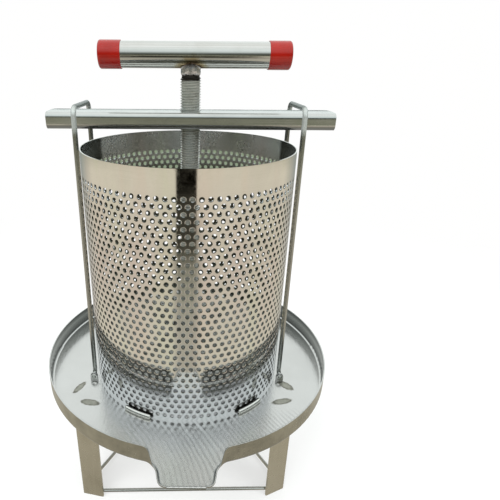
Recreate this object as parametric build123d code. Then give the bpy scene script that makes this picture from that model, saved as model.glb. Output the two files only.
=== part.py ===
from build123d import *
import math
import os

# Basket screw press, all stainless: round spouted tray on three angle legs,
# a plain cylindrical basket standing in the tray, two tilting rod hoops that
# hook over a box crossbeam, and a hand screw with a press plate under it.
# Frame: origin at ground level under the centre of the overall footprint,
# +Z up, spout towards -Y, crossbeam along X. Millimetres.
# Everything is drawn about the basket's axis and moved back by axis_y when
# written. The crossbeam, screw and press plate are drawn about their own axis,
# which stands press_x to the right (+X) of the basket's.

# ---- driving dimensions ----------------------------------------------------
press_x = 2.0            # screw axis right of the basket's axis
floor_z = 142.0          # top of the tray floor above the ground
sheet = 1.2              # tray and basket sheet
under_z = floor_z - sheet    # underside of the tray floor

tray_r = 166.0           # tray wall, outside
tray_wall = 20.0         # wall height above the floor
tray_bend = 4.0          # outside bend where floor turns into wall
spout_tip_y = -189.0
spout_half = 25.0        # half width of the spout at its tip
spout_shoulder = 28.5    # half width where the spout's sides change slope
spout_shoulder_y = -171
throat_fillet = 12       # plan corners, from the tray out to the tip
shoulder_fillet = 14
tip_fillet = 8
spout_lip = 3.0          # height of the spout's low side lips above the floor
pour_half = 17.5         # half width of the open pouring edge
pour_depth = 4.2         # how far that opening is cut in from the tip
bead_r = 1.3             # bead along the pouring edge
bead_inset = 2.2         # bead axis in from the tip
bead_drop = 1.0          # and below the top of the floor
# the spout reaches further than the tray's back
axis_y = -(spout_tip_y + tray_r) / 2

leg_flange = 25.0        # equal angle
leg_t = 2.5
leg_root_fillet = 2.0
leg_corner_l = (-125.0, -83.0)   # outer corners of the front legs
leg_corner_r = (119.8, -75.5)
leg_turn_l = 12.0        # front legs are turned to follow the tray
leg_turn_r = 25.0
rear_corner_y = 148.0
tie_d = 4.0
tie_z = 4.5

basket_d = 220.0         # outside
basket_h = 264.0
base_t = 1.5             # basket base disc
base_lift = 2.0          # its underside above the basket's lower edge

locator_d = 5.0
locator_gap = 0.5        # clearance to the basket
locator_sink = 0.3       # how far a rod would reach below the floor's top
locator_angle_l = 27.5   # from the Y axis to the middle of a piece, left
locator_angle_r = 37.0   # and right
locator_span = 14.0      # arc covered by each piece, degrees

hoop_x = 108.2           # hinge, either side of the basket's axis
hoop_y = 39.5            # half spacing of a hoop's two legs at the hinge
hoop_y_top = 34.0        # and at the cross rod: the legs lean together
hoop_d = 5.0
hoop_lean_l = 1.0        # how far each cross rod stands right of its own hinge
hoop_lean_r = 0.8
hoop_pivot = 5.5         # hinge height above the tray floor
hoop_top = 303.35        # centre of the cross rod above the tray floor
hoop_joint = 60          # where upper and lower sweeps meet, above the floor
hoop_bend = 8.0          # top bends, centreline
hoop_cut = 25.5          # where the cross rod's straight length ends
foot_bend = 5.0
stub_end = 49.5          # outer end of the bent foot
stub_chamfer = 0.6
lug_y = 44.8             # inner face of the hinge lug
lug_t = 2.0
lug_w = 8.4
lug_hole = hoop_d + 0.2
clip_od = 7.2
clip_t = 0.8
clip_gap = 0.25          # between lug and clip

beam_len = 281.0
beam_shift = 0.4         # middle of its length right of the screw hole
beam_depth = 40.0        # along Y
beam_tall = 17.0
beam_wall = 2.0
beam_top = 298.5         # above the tray floor
beam_corner = 5.0
beam_crown = 0.75        # the wide faces are slightly crowned

screw_d = 20.0
beam_hole = screw_d + 1.0
nut_od = 26.0
nut_bore = screw_d + 0.1
screw_chamfer = 1.0
neck_d = 15.0            # turned groove that the hub bolts run in
neck_half = 3.3          # half height of the groove
plate_r = 104.0
plate_t = 3.0
plate_z = 36.0           # underside of the press plate above the tray floor
plate_fillet = 1.0
washer_t = 2.0
hub_od = 36.0
hub_id = screw_d + 0.4
hub_h = 22.0
hub_chamfer = 1.0
rib_h = 14.0
rib_t = 2.5
rib_toe_h = 3            # rib height at its outer end
rib_margin = 8           # rib end in from the plate's edge
rib_flat = 12            # full height length next to the hub

bolt_r = 3.0
bolt_rise = 10.5         # bolt axis above the thrust washer
bolt_shank_x = 9.0       # inner end of the full shank, from the screw axis
bolt_tip_r = 2.0
bolt_tip_x = 8.2         # inner end of the thinner tip
bolt_tip_overlap = 0.5
bolt_flats = 10          # head across flats
bolt_head_t = 4.0

handle_z = 349.3         # bar axis above the tray floor
handle_d = 24.0
handle_wall = 1.5
handle_len = 183.4       # over the caps
handle_shift = 3.9       # the tube sits a little right of the screw
screw_end_drop = 5.0     # top of the screw below the bar axis
tube_hole_drop = 4       # top of the cut for the screw below the bar axis
cap_d = 25.9
cap_len = 21.4
cap_end = 1.5
cap_rim_fillet = 2.2
cap_mouth_fillet = 0.5

# heights above the ground
pivot_z = floor_z + hoop_pivot
cross_z = floor_z + hoop_top
beam_top_z = floor_z + beam_top
beam_under_z = beam_top_z - beam_tall
plate_under_z = floor_z + plate_z
plate_top_z = plate_under_z + plate_t
washer_top_z = plate_top_z + washer_t
bolt_z = washer_top_z + bolt_rise
bar_z = floor_z + handle_z

steel = (0.72, 0.72, 0.70)
brass = (0.75, 0.62, 0.35)
bolt_grey = (0.5, 0.5, 0.5)
weld_grey = (0.6, 0.6, 0.62)
cap_red = (0.75, 0.08, 0.06)

# ---- helpers ---------------------------------------------------------------
# Here and below, cutting tools run a few millimetres past what they cut.


def write(shape, name, colour=steel, x=0.0):
    placed = [Pos(x, axis_y, 0) * s for s in shape.solids()]
    shape = placed[0] if len(placed) == 1 else Compound(children=placed)
    shape.label = name
    shape.color = Color(*colour)
    export_step(shape, f"parts/{name}.step")


def cyl(radius, z0, z1):
    """Upright cylinder between two heights."""
    return Pos(0, 0, (z0 + z1) / 2) * Cylinder(radius, z1 - z0)


def cyl_x(radius, x0, x1, y=0.0, z=0.0):
    return Pos((x0 + x1) / 2, y, z) * Rot(0, 90, 0) * Cylinder(radius, x1 - x0)


def cyl_y(radius, y0, y1, x=0.0, z=0.0):
    return Pos(x, (y0 + y1) / 2, z) * Rot(90, 0, 0) * Cylinder(radius, y1 - y0)


def box(x0, x1, y0, y1, z0, z1):
    return Pos((x0 + x1) / 2, (y0 + y1) / 2, (z0 + z1) / 2) * Box(
        x1 - x0, y1 - y0, z1 - z0
    )


def largest(shape):
    return max(shape.solids(), key=lambda s: s.volume)


def pair(make):
    """The solids make(-1) and make(1) together."""
    return Compound(children=[make(side).solids()[0] for side in (-1, 1)])


def round_section(path, diameter):
    """Circle across the start of a path."""
    return Plane(origin=path @ 0, z_dir=path % 0) * Circle(diameter / 2)


os.makedirs("parts", exist_ok=True)

# ---- tray pan --------------------------------------------------------------
# Spout in plan (x, y), from inside the tray's circle out to the tip and back.
spout_plan = [
    (-46, -150),
    (-spout_shoulder, spout_shoulder_y),
    (-spout_half, spout_tip_y),
    (spout_half, spout_tip_y),
    (spout_shoulder, spout_shoulder_y),
    (46, -150),
]
# Left edge of the wall's swoop (x, height above the floor), from the rim down
# to the lip: first three points are an arc, last three another, a line between.
swoop_left = [
    (-41, 19.9), (-36.2, 17.9), (-34.2, 13.2),
    (-32.4, 6.5), (-31.2, 4.0), (-28.6, spout_lip),
]
swoop_top = 30
swoop_y = -145           # the swoop is cut from here outwards
swoop_reach = 60


def tray_outline():
    """Circle that runs out through soft corners into the spout."""
    outline = Circle(tray_r) + make_face(Polyline(*spout_plan, close=True))
    throat = [v for v in outline.vertices() if -168 < v.Y < -155 and abs(v.X) < 45]
    outline = fillet(throat, radius=throat_fillet)
    for y, radius in ((spout_shoulder_y, shoulder_fillet), (spout_tip_y, tip_fillet)):
        corners = [v for v in outline.vertices() if abs(v.Y - y) < 0.5]
        outline = fillet(corners, radius=radius)
    return outline


def pan_block(plan, bottom, height, bend):
    """Upright block over a plan, its bottom edge rounded."""
    block = extrude(Pos(0, 0, bottom) * plan, amount=height)
    edges = [e for e in block.edges() if abs(e.center().Z - bottom) < 0.01]
    return fillet(edges, radius=bend)


def swoop_tool():
    """Cutter that drops the wall to the low lips on each side of the spout."""
    left = swoop_left
    right = [(-x, z) for x, z in reversed(left)]
    rim_x = right[-1][0]
    profile = make_face(
        Plane.XZ
        * (
            Polyline((-rim_x, swoop_top), left[0])
            + ThreePointArc(*left[:3])
            + Polyline(*left[2:4])
            + ThreePointArc(*left[3:])
            + Polyline(left[-1], right[0])
            + ThreePointArc(*right[:3])
            + Polyline(*right[2:4])
            + ThreePointArc(*right[3:])
            + Polyline(right[-1], (rim_x, swoop_top), (-rim_x, swoop_top))
        )
    )
    return extrude(Pos(0, swoop_y, floor_z) * profile, amount=swoop_reach)


def tray_pan():
    outline = tray_outline()
    inner_plan = offset(outline, amount=-sheet)
    outer = pan_block(outline, under_z, tray_wall + sheet, tray_bend)
    inner = pan_block(inner_plan, floor_z, tray_wall + 5, tray_bend - sheet)
    pan = outer - inner
    pan = pan - swoop_tool()
    # The pouring edge is open between the two lips and ends in a small bead.
    pan = pan - box(
        -pour_half, pour_half, spout_tip_y - 5, spout_tip_y + pour_depth, floor_z, floor_z + 8
    )
    return pan + cyl_x(
        bead_r, -pour_half, pour_half, y=spout_tip_y + bead_inset, z=floor_z - bead_drop
    )


write(tray_pan(), "tray_pan")

# ---- legs ------------------------------------------------------------------


def angle_leg(corner, turn):
    """Equal angle: corner at the given point, flanges along +X and +Y before turning."""
    f, t = leg_flange, leg_t
    plan = make_face(
        Polyline((0, 0), (f, 0), (f, t), (t, t), (t, f), (0, f), close=True)
    )
    root = [v for v in plan.vertices() if (v.X, v.Y) == (t, t)]
    plan = fillet(root, radius=leg_root_fillet)
    body = extrude(plan, amount=under_z)
    return Pos(corner[0], corner[1], 0) * Rot(0, 0, turn) * body


right_x, right_y = leg_corner_r
leg_left = angle_leg(leg_corner_l, -leg_turn_l)
leg_right = mirror(angle_leg((-right_x, right_y), -leg_turn_r), about=Plane.YZ)
leg_rear = angle_leg((0, rear_corner_y), 225)
write(leg_left, "leg_front_left")
write(leg_right, "leg_front_right")
write(leg_rear, "leg_rear")

# ---- tie rods, coped where they meet the angles ------------------------------


def tie_rod(start, end, first_leg, second_leg):
    start, end = Vector(*start, tie_z), Vector(*end, tie_z)
    run = end - start
    plane = Plane(origin=start, z_dir=run.normalized())
    bar = extrude(plane * Circle(tie_d / 2), amount=run.length)
    return largest(bar - first_leg - second_leg)


# side, start (x, y), end (x, y), the two legs joined
ties = (
    ("front", (-106.0, -83.0), (104.0, -78.9), leg_left, leg_right),
    ("left", (-121.0, -72.5), (-9.0, 131.0), leg_left, leg_rear),
    ("right", (113.0, -62.3), (9.0, 131.0), leg_right, leg_rear),
)
for tie_side, *tie in ties:
    write(tie_rod(*tie), f"tie_rod_{tie_side}")

# ---- basket locators: short curved rods on the tray floor around the basket -----
locator_r = basket_d / 2 + locator_gap + locator_d / 2


def locator(middle):
    """Round-ended rod arc on the floor, middle in degrees about the basket's axis."""
    arc = CenterArc((0, 0), locator_r, middle - locator_span / 2, locator_span)
    bar = sweep(round_section(arc, locator_d), path=arc)
    for end in (arc @ 0, arc @ 1):
        bar = bar + Pos(end.X, end.Y, 0) * Sphere(locator_d / 2)
    bar = Pos(0, 0, floor_z + locator_d / 2 - locator_sink) * bar
    bar = bar - box(-130, 130, -130, 130, floor_z - 6, floor_z)
    return bar.solids()[0]


locator_angles = (
    270 - locator_angle_l,
    270 + locator_angle_r,
    90 - locator_angle_r,
    90 + locator_angle_l,
)
write(Compound(children=[locator(a) for a in locator_angles]), "basket_locators")

# ---- hoops, their hinge lugs and clips --------------------------------------------


def hoop(x, lean):
    joint_z = floor_z + hoop_joint
    share = (joint_z - pivot_z) / (cross_z - pivot_z)
    joint_y = hoop_y - (hoop_y - hoop_y_top) * share
    joint_x, top_x = x + lean * share, x + lean
    top_path = FilletPolyline(
        (joint_x, -joint_y, joint_z),
        (top_x, -hoop_y_top, cross_z),
        (top_x, hoop_y_top, cross_z),
        (joint_x, joint_y, joint_z),
        radius=hoop_bend,
    )
    foot_path = FilletPolyline(
        (joint_x, joint_y, joint_z),
        (x, hoop_y, pivot_z),
        (x, stub_end, pivot_z),
        radius=foot_bend,
    )
    top, foot = [
        sweep(round_section(path, hoop_d), path=path, transition=Transition.ROUND)
        for path in (top_path, foot_path)
    ]
    end = [f for f in foot.faces() if abs(f.center().Y - stub_end) < 0.01][0]
    foot = chamfer(end.edges(), length=stub_chamfer)
    whole = top + foot + mirror(foot, about=Plane.XZ)
    # one bent rod, kept as three abutting lengths: the straight cross rod,
    # and the two legs with their bends
    spans = ((-hoop_cut, hoop_cut), (hoop_cut, 100), (-100, -hoop_cut))
    lengths = [whole & box(x - 20, x + 20, a, b, 0, 2 * cross_z) for a, b in spans]
    return Compound(children=[n.solids()[0] for n in lengths])


def lug(x, side):
    """Upright plate with a round top and the hinge hole."""
    half = lug_w / 2
    middle_y = side * (lug_y + lug_t / 2)
    plan = make_face(
        Plane.XZ
        * (
            Polyline((-half, hoop_pivot), (-half, 0), (half, 0), (half, hoop_pivot))
            + ThreePointArc((half, hoop_pivot), (0, hoop_pivot + half), (-half, hoop_pivot))
        )
    )
    plate = Pos(x, middle_y, floor_z) * extrude(plan, amount=lug_t / 2, both=True)
    return plate - cyl_y(lug_hole / 2, middle_y - 4, middle_y + 4, x=x, z=pivot_z)


def clip(x, side):
    """Ring on the hoop's foot, outside the lug."""
    near = side * (lug_y + lug_t + clip_gap)
    low, high = sorted((near, near + side * clip_t))
    ring = cyl_y(clip_od / 2, low, high, x=x, z=pivot_z)
    return ring - cyl_y(hoop_d / 2, low - 1, high + 1, x=x, z=pivot_z)


for side_name, x, lean in (
    ("left", -hoop_x, hoop_lean_l),
    ("right", hoop_x, hoop_lean_r),
):
    write(hoop(x, lean), f"hoop_{side_name}")
    write(pair(lambda side: lug(x, side)), f"hoop_lugs_{side_name}")
    write(pair(lambda side: clip(x, side)), f"hoop_clips_{side_name}")

# ---- basket: rolled shell with an open top, and its base disc ------------------
basket_top_z = floor_z + basket_h
base_z = floor_z + base_lift
basket_inner_r = basket_d / 2 - sheet
shell = cyl(basket_d / 2, floor_z, basket_top_z)
shell = shell - cyl(basket_inner_r, floor_z - 1, basket_top_z + 1)
write(shell, "basket_shell")
write(cyl(basket_inner_r, base_z, base_z + base_t), "basket_base")

# ---- crossbeam and the nut inside it -------------------------------------------


def crowned(inset):
    """Beam section inset from its outside: rounded, the wide faces crowned."""
    a, b = (beam_depth - 2 * inset) / 2, (beam_tall - 2 * inset) / 2
    edge = b - beam_crown
    outline = (
        ThreePointArc((-a, edge), (0, b), (a, edge))
        + Line((a, edge), (a, -edge))
        + ThreePointArc((a, -edge), (0, -b), (-a, -edge))
        + Line((-a, -edge), (-a, edge))
    )
    face = make_face(outline)
    return fillet(face.vertices(), radius=beam_corner - inset)


section = crowned(0) - crowned(beam_wall)
beam = extrude(Plane.YZ * section, amount=beam_len / 2, both=True)
beam = Pos(beam_shift, 0, (beam_top_z + beam_under_z) / 2) * beam
beam = beam - cyl(beam_hole / 2, beam_under_z - 2, beam_top_z + 2)
write(beam, "crossbeam", x=press_x)

nut = cyl(nut_od / 2, beam_under_z + beam_wall, beam_top_z - beam_wall)
nut = nut - cyl(nut_bore / 2, beam_under_z, beam_top_z)
nut = largest(nut - beam)    # ends follow the crowned walls
write(nut, "beam_nut", brass, press_x)

# ---- press plate, hub, ribs, thrust washer and hub bolts -----------------------
plate = cyl(plate_r, plate_under_z, plate_top_z)
plate = fillet(plate.edges().filter_by(GeomType.CIRCLE), radius=plate_fillet)
write(plate, "press_plate", x=press_x)

hub_r = hub_od / 2
hub_top_z = plate_top_z + hub_h
hub = cyl(hub_r, plate_top_z, hub_top_z) - cyl(hub_id / 2, plate_top_z - 1, hub_top_z + 1)
hub = chamfer(hub.edges().group_by(Axis.Z)[-1], length=hub_chamfer)
hub = hub - cyl_x(bolt_r, -30, 30, z=bolt_z)
write(hub, "plate_hub", x=press_x)


def rib():
    profile = make_face(
        Plane.XZ
        * Polyline(
            (hub_r, 0),
            (plate_r - rib_margin, 0),
            (plate_r - rib_margin, rib_toe_h),
            (hub_r + rib_flat, rib_h),
            (hub_r, rib_h),
            close=True,
        )
    )
    blade = Pos(0, 0, plate_top_z) * extrude(profile, amount=rib_t / 2, both=True)
    return largest(blade - cyl(hub_r, plate_top_z - 1, hub_top_z + 1))


one_rib = rib()
ribs = Compound(children=[Rot(0, 0, 45 + 90 * i) * one_rib for i in range(4)])
write(ribs, "plate_ribs", x=press_x)
write(cyl(screw_d / 2, plate_top_z, washer_top_z), "thrust_washer", brass, press_x)


def hub_bolt(side):
    shank = cyl_x(bolt_r, bolt_shank_x, hub_r, z=bolt_z)
    shank = shank + cyl_x(bolt_tip_r, bolt_tip_x, bolt_shank_x + bolt_tip_overlap, z=bolt_z)
    hexagon = Plane.YZ.offset(hub_r) * RegularPolygon(bolt_flats / math.sqrt(3), 6)
    head = Pos(0, 0, bolt_z) * extrude(hexagon, amount=bolt_head_t)
    bolt = shank + head
    return bolt if side > 0 else mirror(bolt, about=Plane.YZ)


write(pair(hub_bolt), "hub_bolts", bolt_grey, press_x)

# ---- screw, handle bar, weld and end caps ----------------------------------------
spindle = cyl(screw_d / 2, washer_top_z, bar_z - screw_end_drop)
spindle = chamfer(spindle.edges().filter_by(GeomType.CIRCLE), length=screw_chamfer)
groove = cyl(screw_d / 2 + 1, bolt_z - neck_half, bolt_z + neck_half) - cyl(
    neck_d / 2, bolt_z - 4, bolt_z + 4
)
write(spindle - groove, "screw_spindle", x=press_x)

tube_half = handle_len / 2 - cap_end
tube_x0, tube_x1 = handle_shift - tube_half, handle_shift + tube_half
tube = cyl_x(handle_d / 2, tube_x0, tube_x1, z=bar_z)
tube = tube - cyl_x(handle_d / 2 - handle_wall, tube_x0 - 1, tube_x1 + 1, z=bar_z)
tube = tube - cyl(screw_d / 2, bar_z - 20, bar_z - tube_hole_drop)
write(tube, "handle_tube", x=press_x)

# Weld bead section: (distance out from the screw's surface, height from the bar axis)
weld_section = [
    (0, -17.7), (0.3, -17.4), (0.4, -15.0), (0.6, -12.7),
    (1.2, -11.2), (1.4, -9.6), (1.1, -8.0), (0, -7.2),
]
weld_points = [(screw_d / 2 + out, z) for out, z in weld_section]
weld_profile = make_face(Plane.XZ * Polyline(*weld_points, close=True))
weld = Pos(0, 0, bar_z) * revolve(weld_profile, axis=Axis.Z)
weld = weld - cyl_x(handle_d / 2, -40, 40, z=bar_z) - cyl(screw_d / 2, bar_z - 30, bar_z)
write(largest(weld), "handle_weld", weld_grey, press_x)


def cap(side):
    """Rounded cap over one end of the handle tube."""
    end_x = handle_shift + side * handle_len / 2
    mouth_x = end_x - side * cap_len
    body = cyl_x(cap_d / 2, *sorted((end_x, mouth_x)), z=bar_z)
    for x, radius in ((end_x, cap_rim_fillet), (mouth_x, cap_mouth_fillet)):
        circles = body.edges().filter_by(GeomType.CIRCLE)
        body = fillet([e for e in circles if abs(e.center().X - x) < 0.1], radius=radius)
    low, high = sorted((mouth_x - side, end_x - side * cap_end))
    return body - cyl_x(handle_d / 2, low, high, z=bar_z)


write(cap(-1), "handle_cap_left", cap_red, press_x)
write(cap(1), "handle_cap_right", cap_red, press_x)
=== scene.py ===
"""A small basket press: a punched steel basket on a spouted tray with three legs, two hoops
carrying a crossbeam, and a screw with a welded T-handle that drives a press plate.

Metres, +Z up. The spout and the camera are on the -Y side, the back is +Y. Places are read
from the CAD frame; the basket, its seam, the screw and the handle weld are modelled here.
"""
import math

import bpy
import bmesh
from mathutils import Matrix, Vector, noise


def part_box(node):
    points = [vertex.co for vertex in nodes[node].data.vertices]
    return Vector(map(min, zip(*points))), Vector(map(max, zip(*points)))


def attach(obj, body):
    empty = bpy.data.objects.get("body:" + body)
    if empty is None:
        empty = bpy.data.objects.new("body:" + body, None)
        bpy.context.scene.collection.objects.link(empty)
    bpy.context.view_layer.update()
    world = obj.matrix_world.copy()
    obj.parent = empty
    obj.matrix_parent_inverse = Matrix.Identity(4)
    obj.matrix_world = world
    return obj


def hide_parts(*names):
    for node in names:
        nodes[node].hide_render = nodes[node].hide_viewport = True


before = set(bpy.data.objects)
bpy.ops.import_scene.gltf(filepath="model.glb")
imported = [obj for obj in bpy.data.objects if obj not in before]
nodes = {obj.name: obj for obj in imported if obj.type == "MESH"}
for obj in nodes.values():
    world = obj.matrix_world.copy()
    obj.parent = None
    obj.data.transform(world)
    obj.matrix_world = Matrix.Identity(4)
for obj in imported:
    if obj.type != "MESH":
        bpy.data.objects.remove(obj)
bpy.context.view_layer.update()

# ---------------------------------------------------------------------------
# places read from the frame
low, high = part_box("screw_spindle")
AXIS_Y = (low.y + high.y) / 2               # shared by screw and basket
SCREW_X = (low.x + high.x) / 2
SCREW_BOTTOM, SCREW_TOP = low.z, high.z
low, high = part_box("basket_shell")
BASKET_X = (low.x + high.x) / 2
BASKET_BOTTOM, BASKET_TOP = low.z, high.z
BASKET_R = 0.110                            # outside of the sheet
SHEET = 0.0012                              # sheet thickness
TRAY_Z = BASKET_BOTTOM                      # top of the tray floor
low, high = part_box("handle_tube")
HANDLE_Z = (low.z + high.z) / 2
HANDLE_R = (high.z - low.z) / 2
HUB_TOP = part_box("plate_hub")[1].z
low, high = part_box("crossbeam")
BEAM_TOP, BEAM_BOTTOM, BEAM_BACK = high.z, low.z, high.y


# ---------------------------------------------------------------------------
# node graphs
class Value:
    """A node output that takes part in arithmetic; every operation adds a Math node."""

    def __init__(self, graph, socket):
        self.graph, self.socket = graph, socket

    def __add__(self, other):
        return self.graph.math("ADD", self, other)

    def __sub__(self, other):
        return self.graph.math("SUBTRACT", self, other)

    def __rsub__(self, other):
        return self.graph.math("SUBTRACT", other, self)

    def __mul__(self, other):
        return self.graph.math("MULTIPLY", self, other)

    def __truediv__(self, other):
        return self.graph.math("DIVIDE", self, other)

    def __gt__(self, other):
        return self.graph.math("GREATER_THAN", self, other)

    def __lt__(self, other):
        return self.graph.math("LESS_THAN", self, other)

    def remap(self, over, to=(0.0, 1.0), smooth=False):
        """Map the range `over` onto the range `to`, clamped."""
        node = self.graph.add("MapRange", in_0=self, in_1=over[0], in_2=over[1],
                              in_3=to[0], in_4=to[1])
        if smooth:
            node.interpolation_type = "SMOOTHSTEP"
        return Value(self.graph, node.outputs[0])


class Graph:
    """Node tree of a material or a world, with its output and its coordinates."""

    def __init__(self, owner, output="OutputMaterial", coords="Object", spare=(0.0,)):
        self.owner = owner
        self.spare = spare                  # what a Math node's unused third input is set to
        owner.use_nodes = True
        self.tree = owner.node_tree
        self.tree.nodes.clear()
        self.output = self.add(output)
        self.point = self.get("TexCoord", coords)

    def put(self, socket, value):
        if isinstance(value, Value):
            self.tree.links.new(value.socket, socket)
        else:
            socket.default_value = (*value, 1) if socket.type == "RGBA" else value

    def add(self, kind, **settings):
        """New node; in_3 or in_Base_Color set an input, other names set a property."""
        node = self.tree.nodes.new("ShaderNode" + kind)
        for name, value in settings.items():
            if name.startswith("in_"):
                name = name[3:]
                key = int(name) if name.isdigit() else name.replace("_", " ")
                self.put(node.inputs[key], value)
            else:
                setattr(node, name, value)
        return node

    def get(self, kind, out=0, **settings):
        """New node, as the value of one of its outputs."""
        return Value(self, self.add(kind, **settings).outputs[out])

    def xyz(self, vector=None):
        outputs = self.add("SeparateXYZ", in_0=vector or self.point).outputs
        return [Value(self, socket) for socket in outputs]

    def math(self, kind, first, second=0.0, clamp=False):
        node = self.add("Math", operation=kind, use_clamp=clamp)
        for socket, value in zip(node.inputs, (first, second, *self.spare)):
            self.put(socket, value)
        return Value(self, node.outputs[0])

    def noise(self, scale=1.0, detail=2.0, rough=0.5, warp=0.0,
              at=None, stretch=None, shift=(0, 0, 0), turn=(0, 0, 0)):
        point = at or self.point
        if stretch:
            point = self.get("Mapping", in_0=point, in_Location=shift, in_Rotation=turn,
                             in_Scale=stretch)
        return self.get("TexNoise", "Fac", in_Vector=point, in_Scale=scale, in_Detail=detail,
                        in_Roughness=rough, in_Distortion=warp)

    def ramp(self, value, stops):
        """Colour ramp through stops of (position, colour)."""
        node = self.add("ValToRGB", in_0=value)
        elements = node.color_ramp.elements
        while len(elements) > 1:
            elements.remove(elements[-1])
        elements[0].position = stops[0][0]
        elements[0].color = (*stops[0][1], 1)
        for position, color in stops[1:]:
            elements.new(position).color = (*color, 1)
        return Value(self, node.outputs[0])

    def mix(self, amount, base, top, mode="MIX"):
        return self.get("Mix", 2, data_type="RGBA", blend_type=mode,
                        in_0=amount, in_6=base, in_7=top)

    def rounded(self, radius):
        return self.get("Bevel", samples=4, in_Radius=radius)

    def bump(self, height, strength, distance, normal=None):
        node = self.add("Bump", in_Strength=strength, in_Distance=distance, in_Height=height)
        if normal:
            self.put(node.inputs["Normal"], normal)
        return Value(self, node.outputs[0])

    def finish(self, color, rough, normal=None, metallic=1.0, **extra):
        """Send a Principled surface to the output and return the material."""
        if normal:
            extra["in_Normal"] = normal
        self.put(self.output.inputs[0], self.get(
            "BsdfPrincipled", in_Base_Color=color, in_Roughness=rough, in_Metallic=metallic,
            **extra))
        return self.owner


def new_material(name):
    return Graph(bpy.data.materials.new(name))


def scaled(color, by):
    """Colour times one factor, or times a factor for each channel."""
    factors = by if isinstance(by, tuple) else (by,) * 3
    return tuple(c * k for c, k in zip(color, factors))


def brightened(color, by):
    return tuple(min(1, c * by) for c in color)


def set_material(obj, material):
    obj.data.materials.clear()
    obj.data.materials.append(material)
    return obj


# ---------------------------------------------------------------------------
# plain steels
def steel(name, base, rough, grain, grain_spread, relief, shade=None, smudge=0.06,
          waves=0.0, wave_scale=18, tarnish=None, **finish):
    """Stainless: drifting tone, grain lines, smudged roughness, faint waviness.

    grain is the noise stretch along x, y, z; the shade hook, if given, recolours places with
    painted shade and adds to finish.
    """
    mat = new_material(name)
    fine = mat.noise(stretch=grain, detail=3.0, rough=0.65)
    blotch = mat.noise(scale=14.0, detail=4.0, rough=0.6)
    spot = mat.noise(scale=70.0, detail=3.0, rough=0.6)
    color = mat.mix(blotch.remap(over=(0.35, 0.68)), shade or scaled(base, 0.80), base)
    color = mat.mix(fine.remap(over=(0.35, 0.65), to=(0.0, 0.6)), color, brightened(base, 1.10))
    # painted shade from the hook
    if tarnish:
        color, finish = tarnish(mat, base, color)
    half = grain_spread / 2
    roughness = (fine.remap(over=(0.3, 0.7), to=(rough - half, rough + half))
                 + spot.remap(over=(0.40, 0.70), to=(-smudge / 2, smudge)))
    roughness = mat.math("MAXIMUM", roughness, 0.03)
    normal = mat.bump(fine, strength=relief, distance=0.0004, normal=mat.rounded(0.0004))
    if waves:
        swell = mat.noise(scale=wave_scale, detail=1.5, rough=0.4)
        normal = mat.bump(swell, strength=waves, distance=0.01, normal=normal)
    return mat.finish(color, roughness, normal, **finish)


def painted_shade_hoop(mat, base, color):
    """Painted shade: darker below the crossbeam, more so at the back, and where the rod lies
    over the beam.
    """
    leg_shade, crown = (0.40, 0.41, 0.385), (0.075, 0.092, 0.084)
    crown_front = AXIS_Y - 0.034
    _, y, z = mat.xyz()
    # painted shade on the legs below the beam, darker at the back
    lower = mat.mix(y.remap(over=(AXIS_Y - 0.01, AXIS_Y + 0.02)), leg_shade, scaled(leg_shade, 0.55))
    below = z.remap(over=(BEAM_BOTTOM - 0.008, BEAM_BOTTOM), to=(0.85, 0.0), smooth=True)
    color = mat.mix(below, color, lower)
    # painted shade on the rod where it lies over the beam
    over_beam = (z.remap(over=(BEAM_TOP, BEAM_TOP + 0.002))
                 * y.remap(over=(crown_front, crown_front + 0.007), to=(0.0, 0.9), smooth=True))
    color = mat.mix(over_beam, color, crown)
    # half matt above the crossbeam's underside, matt where the rod is painted dark over the
    # beam
    upper = z.remap(over=(BEAM_BOTTOM - 0.003, BEAM_BOTTOM + 0.004), to=(1.0, 0.5))
    metallic = upper * (1.0 - over_beam)
    return color, dict(metallic=metallic, in_Specular_IOR_Level=0.15)


def painted_shade_beam(mat, base, color):
    """Painted shade: darker rounded edges underneath, and a painted dark line at the rolled
    rear edge of the top face.
    """
    foot, rear = BEAM_BOTTOM + 0.0035, BEAM_BACK - 0.0095
    # painted shade on the rounded edges underneath
    underside = mat.xyz()[2].remap(over=(foot, foot + 0.0025), to=(1.0, 0.0), smooth=True)
    color = mat.mix(underside, color, scaled(base, 0.42))
    # painted shade line along the rear of the top face
    back_edge = (mat.xyz()[1].remap(over=(rear, rear + 0.003), smooth=True)
                 * mat.xyz()[2].remap(over=(BEAM_TOP - 0.0025, BEAM_TOP - 0.0005), smooth=True))
    color = mat.mix(back_edge, color, (0.15, 0.19, 0.18))
    metallic = back_edge.remap(over=(0.0, 1.0), to=(1.0, 0.45))
    return color, dict(metallic=metallic, in_Specular_IOR_Level=0.15)


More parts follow.
